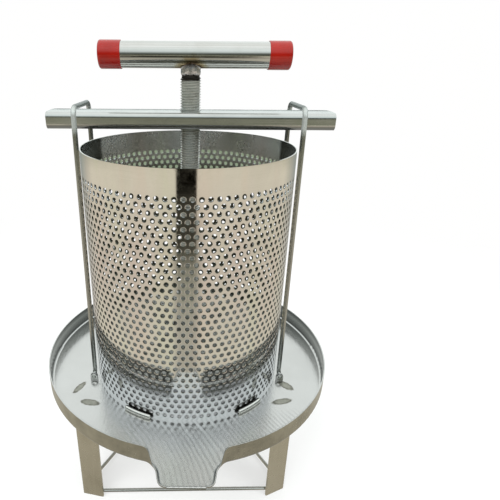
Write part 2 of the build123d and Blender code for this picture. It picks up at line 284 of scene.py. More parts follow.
STEELS = {
    "leg": dict(base=(0.58, 0.555, 0.475), shade=(0.45, 0.425, 0.345), rough=0.28,
                grain=(60, 60, 6), grain_spread=0.10, relief=0.06, smudge=0.10, waves=0.05),
    "rod": dict(base=(0.56, 0.565, 0.54), rough=0.16,
                grain=(500, 500, 20), grain_spread=0.06, relief=0.04, smudge=0.05),
    "hoop": dict(base=(0.56, 0.59, 0.565), rough=0.22, grain=(500, 500, 20),
                 grain_spread=0.06, relief=0.04, smudge=0.05, tarnish=painted_shade_hoop),
    "beam": dict(base=(0.72, 0.735, 0.715), rough=0.17, grain=(8, 700, 700),
                 grain_spread=0.05, relief=0.03, waves=0.04, wave_scale=14,
                 tarnish=painted_shade_beam),
    "plate": dict(base=(0.66, 0.66, 0.64), rough=0.24,
                  grain=(60, 900, 900), grain_spread=0.08, relief=0.05, smudge=0.08),
    # painted light: the emission is a glow standing in for the daylight that reaches the
    # basket's base through the holes
    "base": dict(base=(0.74, 0.74, 0.73), rough=0.50,
                 grain=(60, 900, 900), grain_spread=0.08, relief=0.05, smudge=0.08,
                 metallic=0.35, in_Emission_Color=(0.80, 0.86, 0.90),
                 in_Emission_Strength=0.13),
    "lug": dict(base=(0.50, 0.50, 0.49), rough=0.30,
                grain=(300, 300, 300), grain_spread=0.12, relief=0.2),
    "clip": dict(base=(0.72, 0.72, 0.70), rough=0.14,
                 grain=(700, 700, 700), grain_spread=0.05, relief=0.04),
}
looks = {key: steel(f"{key}_steel_m", **recipe) for key, recipe in STEELS.items()}
looks["bronze"] = steel("bronze_m", base=(0.62, 0.42, 0.18), rough=0.26,
                        grain=(700, 700, 700), grain_spread=0.08, relief=0.05)


def locator_material():
    """Bright on the outside, with the basket's shade on the side towards it."""
    mat = new_material("locator_steel_m")
    x, y, _ = mat.xyz()
    normal = mat.xyz(mat.get("NewGeometry", "Normal"))
    outward = (normal[0] * (x - BASKET_X) + normal[1] * (y - AXIS_Y)) / BASKET_R
    fine = mat.noise(scale=400.0, detail=3.0, rough=0.6)
    color = mat.mix(outward.remap(over=(-0.05, 0.38), smooth=True),
                    (0.045, 0.042, 0.035), (0.80, 0.80, 0.76))
    return mat.finish(color, fine.remap(over=(0.3, 0.7), to=(0.20, 0.30)))


looks["locator"] = locator_material()


# ---------------------------------------------------------------------------
# mesh helpers
def sharpen(mesh, degrees):
    """Sharp edges above an angle, smooth below it."""
    bm = bmesh.new()
    bm.from_mesh(mesh)
    limit = math.radians(degrees)
    for edge in bm.edges:
        if len(edge.link_faces) == 2:
            edge.smooth = edge.calc_face_angle(0.0) < limit
    bm.to_mesh(mesh)
    bm.free()


def link_object(name, mesh):
    obj = bpy.data.objects.new(name, mesh)
    bpy.context.scene.collection.objects.link(obj)
    return obj


def smooth_object(name, bm, sharp_degrees=None):
    bmesh.ops.recalc_face_normals(bm, faces=bm.faces)
    mesh = bpy.data.meshes.new(name)
    bm.to_mesh(mesh)
    bm.free()
    mesh.polygons.foreach_set("use_smooth", [True] * len(mesh.polygons))
    obj = link_object(name, mesh)
    if sharp_degrees:
        sharpen(mesh, sharp_degrees)
    return obj


# ---------------------------------------------------------------------------
# punched basket sheet: staggered round holes, each in a hexagonal cell
HOLES_AROUND = 90
HOLE_PITCH = 2 * math.pi * BASKET_R / HOLES_AROUND
ROW_STEP = 0.006646
ROWS = 36
SPLIT_ROW = 18                              # first row of the upper piece
HOLE_R = 0.0023
LIP_WIDTH = 0.00042                         # rounding round each hole's outside
LIP_DEPTH = 0.00022
FIRST_ROW = 0.0056                          # centre of the lowest row above the sheet's edge
BAND_STEP = 0.006                           # about the ring spacing of the plain band
OUTER, INNER, LIP, WALL, EDGE = range(5)    # kinds of face
SKINS = (OUTER, INNER)
SKIN_R = {OUTER: BASKET_R, INNER: BASKET_R - SHEET}

# cell corners and edge middles lie on a lattice of quarter pitches and sixths of a row step
LATTICE_U, LATTICE_Z = HOLE_PITCH / 4, ROW_STEP * 2 / 3 / 4
LATTICE_AROUND = 4 * HOLES_AROUND
CORNERS = [(2, -2), (2, 2), (0, 4), (-2, 2), (-2, -2), (0, -4)]
CELL = []
for (u, z), (next_u, next_z) in zip(CORNERS, CORNERS[1:] + CORNERS[:1]):
    CELL += [(u, z), ((u + next_u) // 2, (z + next_z) // 2)]
CELL_ANGLES = [math.atan2(z * LATTICE_Z, u * LATTICE_U) for u, z in CELL]


def radial(point):
    return Vector((point[0] - BASKET_X, point[1] - AXIS_Y, 0)).normalized()


def band_heights(start, target):
    """Ring heights from a zigzag's first point out to the straight edge."""
    span = target - start
    if abs(span) < BAND_STEP:
        return [target]
    first = start + math.copysign(BAND_STEP / 2, span)
    count = max(1, int(abs(target - first) / BAND_STEP))
    return [first + (target - first) * i / count for i in range(count + 1)]


def perforated(name, first_row, end_row, low_z, high_z):
    """Rows first_row to end_row - 1, closed at two heights above the sheet's lower edge.

    A height of None leaves the zigzag of the cells. Returns the object and, for each face,
    1 if it belongs to the inside's finish.
    """
    verts, faces, kinds, index = [], [], [], {}

    def vert(u, z, radius):
        """u runs round the outside from the front."""
        angle = u / BASKET_R
        verts.append((BASKET_X + radius * math.sin(angle), AXIS_Y - radius * math.cos(angle),
                      BASKET_BOTTOM + z))
        return len(verts) - 1

    def lattice_vert(u, z, skin):
        key = (u % LATTICE_AROUND, z, skin)
        if key not in index:
            index[key] = vert(key[0] * LATTICE_U, FIRST_ROW + z * LATTICE_Z, SKIN_R[skin])
        return index[key]

    def circle(u, z, circle_r, radius):
        return [vert(u + circle_r * math.cos(a), z + circle_r * math.sin(a), radius)
                for a in CELL_ANGLES]

    def face(kind, *corners):
        faces.append(corners)
        kinds.append(kind)

    def strip(kind, first, second):
        for i in range(LATTICE_AROUND):
            j = (i + 1) % LATTICE_AROUND
            face(kind, first[i], first[j], second[j], second[i])

    def punched_cell(column, row):
        cell_u, cell_z = 4 * column + (2 if row % 2 else 0), 6 * row
        center = (cell_u * LATTICE_U, FIRST_ROW + row * ROW_STEP)
        steps = [(j, (j + 1) % len(CELL)) for j in range(len(CELL))]
        border = [lattice_vert(cell_u + u, cell_z + z, OUTER) for u, z in CELL]
        hole = circle(*center, HOLE_R, BASKET_R - LIP_DEPTH)
        lip = circle(*center, HOLE_R + LIP_WIDTH, BASKET_R)
        for j, k in steps:
            face(OUTER, border[j], border[k], lip[k], lip[j])
            face(LIP, lip[j], lip[k], hole[k], hole[j])
        border = [lattice_vert(cell_u + u, cell_z + z, INNER) for u, z in CELL]
        inner_hole = circle(*center, HOLE_R, SKIN_R[INNER])
        for j, k in steps:
            face(INNER, border[k], border[j], inner_hole[j], inner_hole[k])
        for j, k in steps:
            face(WALL, hole[j], hole[k], inner_hole[k], inner_hole[j])

    def finish_edge(row, top, target):
        """Close the sheet above (top) or below a row."""
        zigzag = []
        for u in range(LATTICE_AROUND):
            rise = (4, 3, 2, 3)[(u - (2 if row % 2 else 0)) % 4]
            zigzag.append((u, row * 6 + (rise if top else -rise)))
        ends = [[index[u, z, skin] for u, z in zigzag] for skin in SKINS]
        if target is not None:
            for z in band_heights(FIRST_ROW + zigzag[0][1] * LATTICE_Z, target):
                rings = [[vert(u * LATTICE_U, z, SKIN_R[skin]) for u in range(LATTICE_AROUND)]
                         for skin in SKINS]
                for skin in SKINS:
                    if top == (skin == OUTER):
                        strip(skin, ends[skin], rings[skin])
                    else:
                        strip(skin, rings[skin], ends[skin])
                ends = rings
        strip(EDGE, *(ends if top else ends[::-1]))

    for row in range(first_row, end_row):
        for column in range(HOLES_AROUND):
            punched_cell(column, row)
    finish_edge(end_row - 1, True, high_z)
    finish_edge(first_row, False, low_z)

    mesh = bpy.data.meshes.new(name)
    mesh.from_pydata(verts, [], faces)
    mesh.update()
    # exact radial normals on the two skins, so the polished sheet reflects smoothly
    normals = []
    for polygon, kind in zip(mesh.polygons, kinds):
        flat = polygon.normal
        for loop in polygon.loop_indices:
            outward = radial(verts[mesh.loops[loop].vertex_index])
            if kind == OUTER:
                normals.append(outward)
            elif kind == INNER:
                normals.append(-outward)
            elif kind == LIP:
                normals.append((outward * 0.75 + flat * 0.6).normalized())
            else:
                normals.append(flat)
    mesh.polygons.foreach_set("use_smooth", [True] * len(mesh.polygons))
    mesh.normals_split_custom_set(normals)
    return link_object(name, mesh), [int(kind in (INNER, WALL)) for kind in kinds]


def basket_material(name, shade, base, rough, inside):
    """Polished sheet with drawn lines round it, finger smears and slight waves, with painted
    shade inside and painted light on the lowest rows outside.
    """
    mat = new_material(name)
    x, y, z = mat.xyz()
    from_x = x - BASKET_X
    from_y = y - AXIS_Y
    angle = mat.math("ARCTAN2", from_x, from_y * -1.0)
    sheet = mat.get("CombineXYZ", in_0=angle * 0.11, in_1=z, in_2=0.0)   # unrolled
    lines = mat.noise(at=sheet, stretch=(6, 1400, 1), rough=0.6)
    smear = mat.noise(at=sheet, stretch=(22, 16, 1), detail=5.0, rough=0.62, warp=0.6)
    drip = mat.noise(at=sheet, stretch=(75, 9, 1), detail=4.0, rough=0.6)
    fine = mat.noise(at=sheet, stretch=(260, 260, 1), detail=3.0, rough=0.6)
    color = mat.mix(smear.remap(over=(0.36, 0.66)), shade, base)
    color = mat.mix(drip.remap(over=(0.46, 0.72), to=(0, 0.35)), color,
                    scaled(shade, (0.93, 0.95, 0.86)))
    color = mat.mix(lines.remap(over=(0.35, 0.7), to=(0, 0.25)), color, brightened(base, 1.08))
    hue = mat.noise(at=sheet, stretch=(34, 6, 1), shift=(3.1, 1.7, 0), detail=3.0, rough=0.55)
    color = mat.mix(hue.remap(over=(0.50, 0.66), to=(0.0, 0.75)), color,
                    scaled(base, (0.985, 0.92, 0.915)))
    color = mat.mix(hue.remap(over=(0.46, 0.32), to=(0.0, 0.75)), color,
                    scaled(base, (0.93, 0.985, 0.90)))
    if inside:
        # painted shade: darker below the plain band, on the punched sheet deep inside the
        # basket
        deep_shade = z.remap(over=(TRAY_Z + 0.212, TRAY_Z + 0.236), to=(1.0, 0.0), smooth=True)
        color = mat.mix(deep_shade, color, (0.17, 0.18, 0.148))
        # painted reflection of shade at the left and right ends, where the sheet only mirrors
        # its own shaded wall
        left = from_x.remap(over=(-BASKET_R * 0.885, -BASKET_R * 0.91), to=(0.0, 0.9),
                            smooth=True)
        right = from_x.remap(over=(BASKET_R * 0.925, BASKET_R * 0.945), to=(0.0, 0.97),
                             smooth=True)
        color = mat.mix(mat.math("MAXIMUM", left, right), color, (0.055, 0.06, 0.045))
    else:
        # painted light: the lowest rows are painted lighter and bluer, standing in for a
        # brighter reflection there
        height = z + smear.remap(over=(0.2, 0.8), to=(-0.012, 0.012))
        low_row_light = height.remap(over=(TRAY_Z + 0.030, TRAY_Z + 0.062), to=(1.0, 0.0), smooth=True)
        color = mat.mix(low_row_light * 0.8, color, (0.76, 0.775, 0.81))
    roughness = (smear.remap(over=(0.42, 0.72), to=(rough, rough + 0.08))
                 + fine.remap(over=(0.4, 0.75), to=(0.0, 0.05)))
    normal = mat.bump(lines, strength=0.03, distance=0.0003)
    swell = mat.noise(at=sheet, stretch=(9, 5, 1), rough=0.45)
    normal = mat.bump(swell, strength=0.08, distance=0.006, normal=normal)
    return mat.finish(color, roughness, normal)


basket_low, low_inside = perforated("basket_sheet_lower", 0, SPLIT_ROW, 0.0, None)
basket_up, up_inside = perforated("basket_sheet_upper", SPLIT_ROW, ROWS, None,
                                  BASKET_TOP - BASKET_BOTTOM)
basket_outside = basket_material("basket_mirror_m", shade=(0.74, 0.725, 0.70),
                                 base=(0.83, 0.815, 0.785), rough=0.04, inside=False)
basket_inside = basket_material("basket_inside_m", shade=(0.70, 0.74, 0.77),
                                base=(0.86, 0.89, 0.93), rough=0.20, inside=True)
for obj, inside in ((basket_low, low_inside), (basket_up, up_inside)):
    set_material(obj, basket_outside)
    obj.data.materials.append(basket_inside)
    obj.data.polygons.foreach_set("material_index", inside)
    obj.data.update()
    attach(obj, "basket")
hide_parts("basket_shell")
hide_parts("basket_shell")


# ---------------------------------------------------------------------------
# lapped seam up the back of the rolled sheet: a thin ground-down weld
def seam_bead(name):
    steps, end_gap, sunk = 220, 0.0006, BASKET_R - 0.0003
    bm = bmesh.new()
    rows = []
    for i in range(steps + 1):
        z = BASKET_BOTTOM + end_gap + (BASKET_TOP - BASKET_BOTTOM - 2 * end_gap) * i / steps
        half = 0.0011 + 0.00025 * noise.noise(Vector((0.3, 2.1, z * 160)))
        height = (0.00022 + 0.00012 * math.sin(i * 1.35)
                  + 0.00008 * noise.noise(Vector((7.0, 1.0, z * 300))))
        shoulder = BASKET_R + height * 0.75
        section = ((-half, sunk), (-half * 0.55, shoulder), (0, BASKET_R + height),
                   (half * 0.55, shoulder), (half, sunk))
        rows.append([bm.verts.new((BASKET_X + radius * math.sin(u / BASKET_R),
                                   AXIS_Y + radius * math.cos(u / BASKET_R), z))
                     for u, radius in section])
    for lower, upper in zip(rows, rows[1:]):
        for k in range(5):
            m = (k + 1) % 5
            bm.faces.new((lower[k], lower[m], upper[m], upper[k]))
    bm.faces.new(rows[0][::-1])
    bm.faces.new(rows[-1])
    return smooth_object(name, bm)


seam = set_material(
    seam_bead("basket_seam"),
    steel("seam_m", base=(0.50, 0.49, 0.46), rough=0.30,
          grain=(300, 300, 300), grain_spread=0.12, relief=0.3))
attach(seam, "basket")

# ---------------------------------------------------------------------------
# screw: rolled V thread, right hand, with a grooved journal below and a stub above
LEAD = 0.0025
CREST_R, ROOT_R = 0.0100, 0.0089
THREAD_SEGMENTS = 40
THREAD_TAPER = 0.0022                       # length over which the crests rise at the ends
END_DROP = 0.0006                           # how far the very ends lie below the root
THREAD_BOTTOM = HUB_TOP - 0.001
THREAD_TOP = HANDLE_Z - 0.0186
# (fraction of the lead, radius)
THREAD_PROFILE = [(0.00, ROOT_R), (0.11, ROOT_R), (0.37, CREST_R), (0.63, CREST_R),
                  (0.89, ROOT_R)]


def thread(name, bottom, top):
    points, seg = len(THREAD_PROFILE), THREAD_SEGMENTS
    total = (int(math.ceil((top - bottom) / LEAD)) + 2) * seg

    def tapered(z, radius):
        inset = max(0.0, min(z - bottom, top - z))
        rise = inset * (CREST_R - ROOT_R + END_DROP) / THREAD_TAPER
        return min(radius, (ROOT_R - END_DROP) + rise)

    bm = bmesh.new()
    verts = []
    for i in range(total + 1):
        angle = 2 * math.pi * i / seg
        for fraction, profile_r in THREAD_PROFILE:
            z = bottom - LEAD + LEAD * i / seg + fraction * LEAD
            radius = tapered(z, profile_r)
            verts.append(bm.verts.new((SCREW_X + radius * math.cos(angle),
                                       AXIS_Y + radius * math.sin(angle),
                                       min(max(z, bottom), top))))
    for i in range(total):
        here, ahead = i * points, (i + 1) * points
        for k in range(points - 1):
            bm.faces.new((verts[here + k], verts[ahead + k],
                          verts[ahead + k + 1], verts[here + k + 1]))
        # the last profile point joins the first one of the next turn
        if i + 1 + seg <= total:
            k = points - 1
            bm.faces.new((verts[here + k], verts[ahead + k],
                          verts[ahead + seg * points], verts[here + seg * points]))
    # the runs beyond both ends have no area: weld them into the two end circles
    bmesh.ops.remove_doubles(bm, verts=bm.verts, dist=2e-6)
    bmesh.ops.dissolve_degenerate(bm, dist=1e-6, edges=bm.edges)
    flat = [f for f in bm.faces if f.calc_area() < 1e-12]
    bmesh.ops.delete(bm, geom=flat, context="FACES")
    loose = [v for v in bm.verts if not v.link_faces]
    bmesh.ops.delete(bm, geom=loose, context="VERTS")
    rim = [e for e in bm.edges if len(e.link_faces) == 1]
    bmesh.ops.holes_fill(bm, edges=rim, sides=0)
    return smooth_object(name, bm, sharp_degrees=32)


def lathe(name, profile):
    """Solid turned about the screw's axis. profile: (radius, z) from bottom to top."""
    seg = 48
    bm = bmesh.new()
    rings = []
    for radius, z in profile:
        if radius == 0.0:
            rings.append([bm.verts.new((SCREW_X, AXIS_Y, z))])
        else:
            rings.append([bm.verts.new((SCREW_X + radius * math.cos(2 * math.pi * i / seg),
                                        AXIS_Y + radius * math.sin(2 * math.pi * i / seg), z))
                          for i in range(seg)])
    for lower, upper in zip(rings, rings[1:]):
        for i in range(seg):
            j = (i + 1) % seg
            if len(lower) == 1:
                bm.faces.new((lower[0], upper[j], upper[i]))
            elif len(upper) == 1:
                bm.faces.new((lower[i], lower[j], upper[0]))
            else:
                bm.faces.new((lower[i], lower[j], upper[j], upper[i]))
    return smooth_object(name, bm, sharp_degrees=35)


def screw_material():
    mat = new_material("screw_steel_m")
    x, y, z = mat.xyz()
    from_x = x - SCREW_X
    from_y = y - AXIS_Y
    radius = mat.math("SQRT", from_x * from_x + from_y * from_y)
    crest = radius.remap(over=(0.0086, 0.0096))
    grime = mat.noise(scale=160.0, detail=4.0, rough=0.65)
    tone = mat.noise(stretch=(30, 30, 9), detail=3.0, rough=0.6)
    color = mat.mix(crest, (0.54, 0.545, 0.52), (0.93, 0.94, 0.91))
    color = mat.mix(grime.remap(over=(0.50, 0.78), to=(0.0, 0.50)), color, (0.27, 0.255, 0.21))
    color = mat.mix(tone.remap(over=(0.4, 0.7), to=(0.0, 0.4)), color, (0.84, 0.855, 0.83))
    # heat-darkened top, just under the weld
    height = z + grime.remap(over=(0.2, 0.8), to=(-0.0006, 0.0006))
    heat = height.remap(over=(HANDLE_Z - 0.0233, HANDLE_Z - 0.0221), smooth=True)
    color = mat.mix(heat, color, (0.055, 0.05, 0.045))
    roughness = (crest.remap(over=(0, 1), to=(0.50, 0.38))
                 + grime.remap(over=(0.4, 0.7), to=(0.0, 0.16)))
    pits = mat.noise(scale=900.0, rough=0.6)
    return mat.finish(color, roughness, mat.bump(pits, strength=0.12, distance=0.0003))


JOURNAL_R, GROOVE_R = 0.0099, 0.0075
GROOVE_Z = SCREW_BOTTOM + 0.0105
screw_parts = [
    thread("screw_thread", THREAD_BOTTOM, THREAD_TOP),
    lathe("screw_journal", [
        (0.0, SCREW_BOTTOM), (0.0088, SCREW_BOTTOM), (JOURNAL_R, SCREW_BOTTOM + 0.0011),
        (JOURNAL_R, GROOVE_Z - 0.0033), (GROOVE_R, GROOVE_Z - 0.0032),
        (GROOVE_R, GROOVE_Z + 0.0032), (JOURNAL_R, GROOVE_Z + 0.0033),
        (JOURNAL_R, THREAD_BOTTOM - 0.0028), (0.0074, THREAD_BOTTOM), (0.0, THREAD_BOTTOM)]),
    lathe("screw_top_stub", [
        (0.0, THREAD_TOP), (0.0080, THREAD_TOP), (0.0088, HANDLE_Z - 0.0180),
        (0.0088, SCREW_TOP - 0.0008), (0.0082, SCREW_TOP), (0.0, SCREW_TOP)]),
]
screw_look = screw_material()
for obj in screw_parts:
    set_material(obj, screw_look)
    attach(obj, "screw")
    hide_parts("screw_spindle")

# ---------------------------------------------------------------------------
# weld between screw and handle tube: a rippled bead that follows the saddle
WELD_R, WELD_BORE = 0.0090, 0.0086
# (fraction of the way down the bead, how far it stands out from WELD_R)
WELD_PROFILE = [(0.0, 0.00190), (0.07, 0.00130), (0.16, 0.00060), (0.30, 0.00050),
                (0.50, 0.00055), (0.70, 0.00050), (0.86, 0.00025), (1.0, -0.00030)]


def weld_bulge(fraction):
    for (start, from_out), (end, to_out) in zip(WELD_PROFILE, WELD_PROFILE[1:]):
        if fraction <= end:
            t = (fraction - start) / (end - start)
            t = t * t * (3 - 2 * t)
            return from_out + (to_out - from_out) * t


def weld_saddle(name):
    around, down = 160, 16
    bm = bmesh.new()

    def vert(radius, angle, z):
        return bm.verts.new((SCREW_X + radius * math.cos(angle),
                             AXIS_Y + radius * math.sin(angle), z))

    angles = [2 * math.pi * i / around for i in range(around)]
    rings = []
    for angle in angles:
        cos, sin = math.cos(angle), math.sin(angle)
        lump = noise.noise(Vector((cos * 1.7, sin * 1.7, 3.1)))
        top = HANDLE_Z - math.sqrt(max(HANDLE_R ** 2 - (0.0106 * sin) ** 2, 1e-9)) + 0.0006
        bottom = HANDLE_Z - 0.0183 + 0.0004 * lump + 0.0003 * math.sin(angle * 9)
        ring = []
        for k in range(down + 1):
            t = k / down
            # overlapping crescents of the bead, leaning round the joint
            ripple = abs(math.sin(angle * 8.5 + 1.6 * t + 0.5 * math.sin(angle * 2 + 0.6)))
            hump = math.sin(math.pi * min(1.0, max(0.0, (t - 0.12) / 0.83)))
            uneven = (0.00020 * ripple + 0.00022 * lump
                      + 0.00016 * noise.noise(Vector((cos * 6, sin * 6, t * 5))))
            radius = WELD_R + weld_bulge(t) + uneven * hump
            ring.append(vert(radius, angle, top + (bottom - top) * t))
        rings.append(ring)
    inner = [(vert(WELD_BORE, angle, ring[0].co.z), vert(WELD_BORE, angle, ring[-1].co.z))
             for angle, ring in zip(angles, rings)]
    for i in range(around):
        j = (i + 1) % around
        for k in range(down):
            bm.faces.new((rings[i][k], rings[j][k], rings[j][k + 1], rings[i][k + 1]))
        bm.faces.new((inner[i][0], inner[j][0], rings[j][0], rings[i][0]))
        bm.faces.new((rings[i][-1], rings[j][-1], inner[j][1], inner[i][1]))
        bm.faces.new((inner[i][1], inner[j][1], inner[j][0], inner[i][0]))
    return smooth_object(name, bm, sharp_degrees=60)


def weld_material():
    """Bright bead between heat-darkened ends, with a black band of painted shade in the
    undercut next to the top end, where the bead meets the tube.
    """
    mat = new_material("weld_m")
    z = mat.xyz()[2]
    scale = mat.noise(scale=380.0, detail=4.0, rough=0.7)
    height = z + scale.remap(over=(0.2, 0.8), to=(-0.0007, 0.0007))
    # the black stop at 0.90 is painted shade in the undercut against the tube
    color = mat.ramp(height.remap(over=(HANDLE_Z - 0.0189, HANDLE_Z - 0.0073)), [
        (0.0, (0.05, 0.045, 0.04)), (0.07, (0.12, 0.11, 0.11)), (0.16, (0.70, 0.70, 0.735)),
        (0.62, (0.74, 0.74, 0.77)), (0.78, (0.30, 0.28, 0.28)), (0.90, (0.05, 0.042, 0.038)),
        (1.0, (0.13, 0.09, 0.055))])
    color = mat.mix(scale.remap(over=(0.50, 0.66), to=(0.0, 0.6)), color, (0.36, 0.35, 0.37))
    pits = mat.noise(scale=600.0, detail=3.0, rough=0.65)
    return mat.finish(color, scale.remap(over=(0.3, 0.7), to=(0.18, 0.40)),
                      mat.bump(pits, strength=0.4, distance=0.0005))


weld = weld_saddle("handle_weld_bead")
set_material(weld, weld_material())
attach(weld, "screw")
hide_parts("handle_weld")


# ---------------------------------------------------------------------------
# handle and tray
def handle_material():
    """Polished, drawn lengthways, with brown heat tint round the weld."""
    mat = new_material("handle_steel_m")
    draw = mat.noise(stretch=(7, 900, 900), detail=3.0, rough=0.6)
    blotch = mat.noise(scale=40.0, detail=4.0, rough=0.6)
    distance = mat.get("VectorMath", "Value", operation="DISTANCE", in_0=mat.point,
                       in_1=(SCREW_X, AXIS_Y - 0.004, HANDLE_Z - 0.0165))
    wobble = mat.noise(scale=90.0, detail=3.0, rough=0.6)
    distance = distance + wobble.remap(over=(0.2, 0.8), to=(-0.004, 0.004))
    tint = mat.ramp(distance.remap(over=(0.008, 0.0205)), [
        (0.0, (0.10, 0.065, 0.035)), (0.22, (0.25, 0.17, 0.09)), (0.5, (0.50, 0.42, 0.27)),
        (0.8, (0.70, 0.68, 0.62)), (1.0, (0.80, 0.80, 0.78))])
    base = mat.mix(draw.remap(over=(0.35, 0.65)), (0.68, 0.68, 0.65), (0.78, 0.78, 0.755))
    color = mat.mix(1.0, base, tint, mode="DARKEN")
    color = mat.mix(blotch.remap(over=(0.45, 0.75), to=(0.0, 0.3)), color, (0.60, 0.58, 0.53))
    roughness = (draw.remap(over=(0.3, 0.7), to=(0.08, 0.15))
                 + blotch.remap(over=(0.45, 0.7), to=(0.0, 0.08)))
    return mat.finish(color, roughness, mat.bump(draw, strength=0.05, distance=0.0003))


def cap_material():
    """Red end caps: soft moulded vinyl."""
    mat = new_material("cap_red_m")
    drift = mat.noise(scale=45.0, detail=4.0, rough=0.6)
    fine = mat.noise(scale=900.0, detail=3.0, rough=0.6)
    color = mat.mix(drift.remap(over=(0.35, 0.7)),
                    (0.28, 0.0050, 0.0012), (0.345, 0.0068, 0.0018))
    return mat.finish(color, fine.remap(over=(0.3, 0.7), to=(0.15, 0.22)),
                      mat.bump(fine, strength=0.05, distance=0.0002), metallic=0.0,
                      in_Coat_Weight=0.35, in_Coat_Roughness=0.12)


# oval burn marks over the leg welds: x and y from the basket's axis, turn in degrees,
# half length, half width
BURN_MARKS = [
    (-0.1226, -0.0595, 63.0, 0.0108, 0.0036), (-0.1059, -0.0834, -12.0, 0.0110, 0.0046),
    (0.1140, -0.0548, -48.0, 0.0100, 0.0050), (0.1049, -0.0808, 13.5, 0.0116, 0.0042),
    (-0.0085, 0.1390, 45.0, 0.0112, 0.0042), (0.0085, 0.1390, -45.0, 0.0112, 0.0042)]
BURN_HALF_DEPTH = 0.004
STRIPE_PITCH = 0.0053


def burn_masks(mat):
    """Two masks: all the burn marks, and their rims."""
    burnt = rim = None
    wobble = mat.noise(scale=260.0, detail=3.0, rough=0.6)
    wobble = wobble.remap(over=(0.2, 0.8), to=(-0.16, 0.16))
    for x, y, turn, half_length, half_width in BURN_MARKS:
        oval = mat.get("VectorMath", operation="SUBTRACT", in_0=mat.point,
                       in_1=(BASKET_X + x, AXIS_Y + y, TRAY_Z))
        oval = mat.get("VectorRotate", rotation_type="Z_AXIS", in_Vector=oval,
                       in_Angle=-math.radians(turn))
        oval = mat.get("VectorMath", operation="MULTIPLY", in_0=oval,
                       in_1=(1 / half_length, 1 / half_width, 1 / BURN_HALF_DEPTH))
        radius = mat.get("VectorMath", "Value", operation="LENGTH", in_0=oval) + wobble
        mark = radius.remap(over=(0.88, 1.12), to=(1.0, 0.0), smooth=True)
        mark_rim = mark * radius.remap(over=(0.45, 0.95))
        burnt = mat.math("MAXIMUM", burnt, mark) if burnt else mark
        rim = mat.math("MAXIMUM", rim, mark_rim) if rim else mark_rim
    return burnt, rim


def tray_material():
    """Satin sheet with a wavy rolled sheen, burn marks over the leg welds, and painted shade on
    the inside of the wall.
    """
    mat = new_material("tray_steel_m")
    x, y, z = mat.xyz()
    from_x = x - BASKET_X
    from_y = y - AXIS_Y
    # slanted rolled stripes in front of the basket that bend down into the spout
    spout = from_y.remap(over=(-0.125, -0.185))
    slant = from_y * 0.62 + spout * spout * 0.0135
    warp = mat.noise(stretch=(26, 18, 9))
    phase = from_x + slant + warp.remap(over=(0.2, 0.8), to=(-0.0038, 0.0038))
    wave = mat.math("SINE", phase * (2 * math.pi / STRIPE_PITCH))
    fine = mat.noise(stretch=(700, 60, 700), turn=(0, 0, 0.5), detail=3.0, rough=0.6)
    front = from_y.remap(over=(-0.088, -0.112), smooth=True)
    right_part = from_x.remap(over=(-0.075, -0.050), smooth=True)
    patch = mat.noise(stretch=(22, 16, 1)).remap(over=(0.32, 0.58), to=(0.25, 1.0))
    amount = front * right_part * patch
    stripe = wave.remap(over=(-0.35, 0.9)) * amount
    cloud = mat.noise(scale=11.0, detail=4.0, rough=0.55)
    color = mat.mix(cloud.remap(over=(0.35, 0.68)), (0.665, 0.66, 0.645), (0.745, 0.74, 0.725))
    color = mat.mix(stripe * 0.42, color, (0.40, 0.40, 0.39))
    roughness = fine.remap(over=(0.3, 0.7), to=(0.17, 0.25)) + stripe * 0.05

    burnt, rim = burn_masks(mat)
    burn = mat.mix(rim, (0.34, 0.335, 0.29), (0.13, 0.125, 0.105))
    speckle = mat.noise(scale=330.0, detail=3.0, rough=0.6)
    burn = mat.mix(speckle.remap(over=(0.40, 0.66), to=(0, 0.6)), burn, (0.46, 0.45, 0.39))
    color = mat.mix(burnt, color, burn)
    roughness = roughness + burnt * 0.12

    # the wall: painted shade inside, darkest at the floor and at the rim; browner outside
    normal = mat.xyz(mat.get("NewGeometry", "Normal"))
    upright = mat.math("ABSOLUTE", normal[2]).remap(over=(0.30, 0.75), to=(1.0, 0.0))
    facing = normal[0] * from_x + normal[1] * from_y
    inner = upright * facing.remap(over=(-0.02, -0.07))
    outer = upright * facing.remap(over=(0.02, 0.07))
    blotch = mat.noise(scale=38.0, detail=4.0, rough=0.62)
    brown = mat.mix(blotch.remap(over=(0.38, 0.66)), (0.29, 0.28, 0.23), (0.44, 0.425, 0.35))
    color = mat.mix(outer * 0.9, color, brown)
    wall = mat.ramp(z.remap(over=(TRAY_Z + 0.002, TRAY_Z + 0.019)), [
        (0.0, (0.08, 0.085, 0.08)), (0.35, (0.17, 0.175, 0.165)), (0.62, (0.30, 0.305, 0.29)),
        (0.85, (0.15, 0.155, 0.145)), (1.0, (0.07, 0.075, 0.07))])
    color = mat.mix(inner * 0.95, color, wall)
    relief = mat.bump(wave * (amount * 0.6) + fine, strength=0.10, distance=0.0006,
                      normal=mat.rounded(0.0006))
    relief = mat.bump(mat.noise(scale=7.0, rough=0.4), strength=0.08, distance=0.010,
                      normal=relief)
    return mat.finish(color, roughness, relief)


looks["handle"] = handle_material()
looks["cap"] = cap_material()
looks["tray"] = tray_material()

